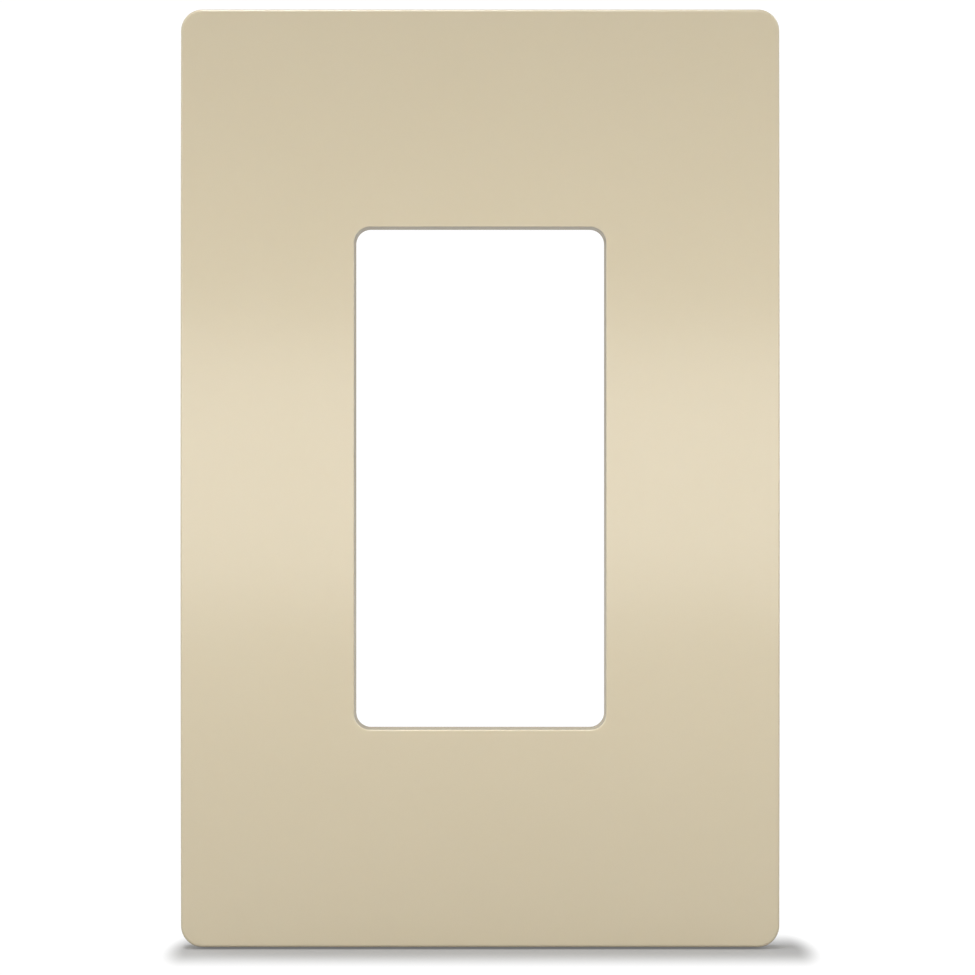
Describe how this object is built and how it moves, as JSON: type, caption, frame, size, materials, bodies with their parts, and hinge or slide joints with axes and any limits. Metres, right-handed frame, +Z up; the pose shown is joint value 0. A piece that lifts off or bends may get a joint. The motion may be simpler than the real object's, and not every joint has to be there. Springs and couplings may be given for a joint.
{
  "type": "screwless wall plate",
  "caption": "Flat rectangular wall plate with a crowned clip-on cover, a tall rounded opening for a flush device, and a screw-fixed sub-plate behind it.",
  "frame": {"origin": "centre of the device opening, on the wall plane that the plate's back rim rests on", "axes": "+X to the right seen from the front, +Y into the wall, +Z up; the front faces -Y"},
  "size_m": [0.08, 0.0225, 0.1252],
  "materials": {
    "cover_plastic": "smooth satin, ivory",
    "sub_plate_plastic": "fine matt, pale grey",
    "screw_steel": "zinc plated"
  },
  "bodies": {
    "sub_plate": {"sub_plate": "sub_plate_plastic"},
    "cover": {"cover_plate": "cover_plastic"},
    "upper_screw": {"mounting_screw_upper": "screw_steel"},
    "lower_screw": {"mounting_screw_lower": "screw_steel"}
  },
  "joints": [
    {"name": "cover_pull", "type": "slide", "parent": "sub_plate", "child": "cover", "axis": [0, -1, 0], "range_m": [0, 0.03]},
    {"name": "upper_screw_turn", "type": "hinge", "parent": "sub_plate", "child": "upper_screw", "pos_m": [0, 0, 0.04841], "axis": [0, 1, 0], "continuous": true},
    {"name": "lower_screw_turn", "type": "hinge", "parent": "sub_plate", "child": "lower_screw", "pos_m": [0, 0, -0.04841], "axis": [0, 1, 0], "continuous": true}
  ]
}
